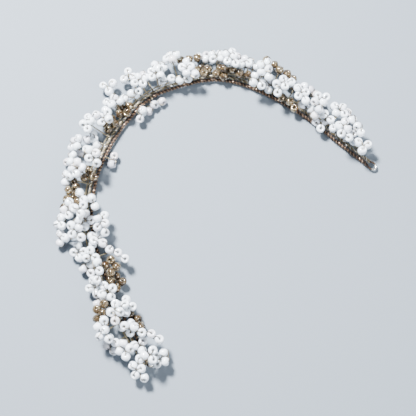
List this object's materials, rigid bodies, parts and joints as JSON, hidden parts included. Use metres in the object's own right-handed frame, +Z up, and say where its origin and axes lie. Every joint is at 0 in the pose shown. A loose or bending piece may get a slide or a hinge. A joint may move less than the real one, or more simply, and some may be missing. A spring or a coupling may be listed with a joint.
{
  "type": "flower crown",
  "caption": "Half crown of wired glass seed-bead flowers in white and gold on a bound double wire, with an eye at each end.",
  "frame": {"origin": "on the table, under the middle of the crown's bounding box, without the height", "axes": "+Z up from the table the crown lies on; +Y along its longest side, towards the crown's far curve; +X towards the end whose eye is bare"},
  "size_m": [0.14, 0.1496, 0.0147],
  "materials": {
    "white_glass": "opaque milky glass, glossy",
    "gold_lined_glass": "clear glass with a gold lining, glossy",
    "silvered_wire": "silvery brass, satin",
    "copper_brown_wire": "copper brown, satin",
    "antique_brass_wire": "antique brass, satin"
  },
  "bodies": {
    "crown": {"binding_wire_inner": "copper_brown_wire", "binding_wire_outer": "antique_brass_wire", "core_wire": "silvered_wire", "flower_wire_1": "antique_brass_wire", "flower_wire_2": "antique_brass_wire", "flower_wire_3": "antique_brass_wire", "gold_bead_cluster_01": "gold_lined_glass", "gold_bead_cluster_02": "gold_lined_glass", "gold_bead_cluster_03": "gold_lined_glass", "gold_bead_cluster_04": "gold_lined_glass", "gold_bead_cluster_05": "gold_lined_glass", "gold_bead_cluster_06": "gold_lined_glass", "gold_bead_cluster_07": "gold_lined_glass", "gold_bead_cluster_08": "gold_lined_glass", "gold_bead_cluster_09": "gold_lined_glass", "gold_bead_cluster_10": "gold_lined_glass", "stem_wire_left": "antique_brass_wire", "stem_wire_right": "antique_brass_wire", "stem_wire_top": "antique_brass_wire", "white_bead_cluster_01": "white_glass", "white_bead_cluster_02": "white_glass", "white_bead_cluster_03": "white_glass", "white_bead_cluster_04": "white_glass", "white_bead_cluster_05": "white_glass", "white_bead_cluster_06": "white_glass", "white_bead_cluster_07": "white_glass", "white_bead_cluster_08": "white_glass", "white_bead_cluster_09": "white_glass", "white_bead_cluster_10": "white_glass", "white_bead_cluster_11": "white_glass", "white_bead_cluster_12": "white_glass", "white_bead_cluster_13": "white_glass", "white_bead_cluster_14": "white_glass", "white_bead_cluster_15": "white_glass", "white_bead_cluster_16": "white_glass", "white_bead_cluster_17": "white_glass", "white_bead_cluster_18": "white_glass", "white_bead_cluster_19": "white_glass", "white_bead_cluster_20": "white_glass", "white_bead_cluster_21": "white_glass", "white_bead_cluster_22": "white_glass", "white_bead_cluster_23": "white_glass", "white_bead_cluster_24": "white_glass", "white_bead_cluster_25": "white_glass", "white_bead_cluster_26": "white_glass", "white_bead_cluster_27": "white_glass", "white_bead_cluster_28": "white_glass", "white_bead_cluster_29": "white_glass", "white_bead_cluster_30": "white_glass", "white_bead_cluster_31": "white_glass", "white_bead_cluster_32": "white_glass"},
    "turning_bead_1a": {"turning_bead_1a": "white_glass"},
    "turning_bead_1b": {"turning_bead_1b": "white_glass"},
    "turning_bead_1c": {"turning_bead_1c": "white_glass"},
    "turning_bead_2a": {"turning_bead_2a": "white_glass"},
    "turning_bead_2b": {"turning_bead_2b": "white_glass"},
    "turning_bead_2c": {"turning_bead_2c": "white_glass"},
    "turning_bead_3a": {"turning_bead_3a": "white_glass"},
    "turning_bead_3b": {"turning_bead_3b": "white_glass"},
    "turning_bead_3c": {"turning_bead_3c": "white_glass"}
  },
  "joints": [
    {"name": "bead_turn_1a", "type": "hinge", "parent": "crown", "child": "turning_bead_1a", "pos_m": [0.06586, 0.02723, 0.00732], "axis": [0.2132, 0.2524, 0.9439], "continuous": true},
    {"name": "bead_turn_1b", "type": "hinge", "parent": "crown", "child": "turning_bead_1b", "pos_m": [0.06156, 0.02821, 0.00804], "axis": [0.2132, 0.2524, 0.9439], "continuous": true},
    {"name": "bead_turn_1c", "type": "hinge", "parent": "crown", "child": "turning_bead_1c", "pos_m": [0.06307, 0.02407, 0.0088], "axis": [0.2132, 0.2524, 0.9439], "continuous": true},
    {"name": "bead_turn_2a", "type": "hinge", "parent": "crown", "child": "turning_bead_2a", "pos_m": [-0.03963, 0.06375, 0.00372], "axis": [-0.2091, 0.2558, 0.9439], "continuous": true},
    {"name": "bead_turn_2b", "type": "hinge", "parent": "crown", "child": "turning_bead_2b", "pos_m": [-0.04134, 0.05969, 0.00444], "axis": [-0.2091, 0.2558, 0.9439], "continuous": true},
    {"name": "bead_turn_2c", "type": "hinge", "parent": "crown", "child": "turning_bead_2c", "pos_m": [-0.03701, 0.06045, 0.00519], "axis": [-0.2091, 0.2558, 0.9439], "continuous": true},
    {"name": "bead_turn_3a", "type": "hinge", "parent": "crown", "child": "turning_bead_3a", "pos_m": [-0.04626, 0.05751, 0.00509], "axis": [-0.2534, 0.212, 0.9439], "continuous": true},
    {"name": "bead_turn_3b", "type": "hinge", "parent": "crown", "child": "turning_bead_3b", "pos_m": [-0.05053, 0.05659, 0.00415], "axis": [-0.2534, 0.212, 0.9439], "continuous": true},
    {"name": "bead_turn_3c", "type": "hinge", "parent": "crown", "child": "turning_bead_3c", "pos_m": [-0.04782, 0.05335, 0.0056], "axis": [-0.2534, 0.212, 0.9439], "continuous": true}
  ]
}
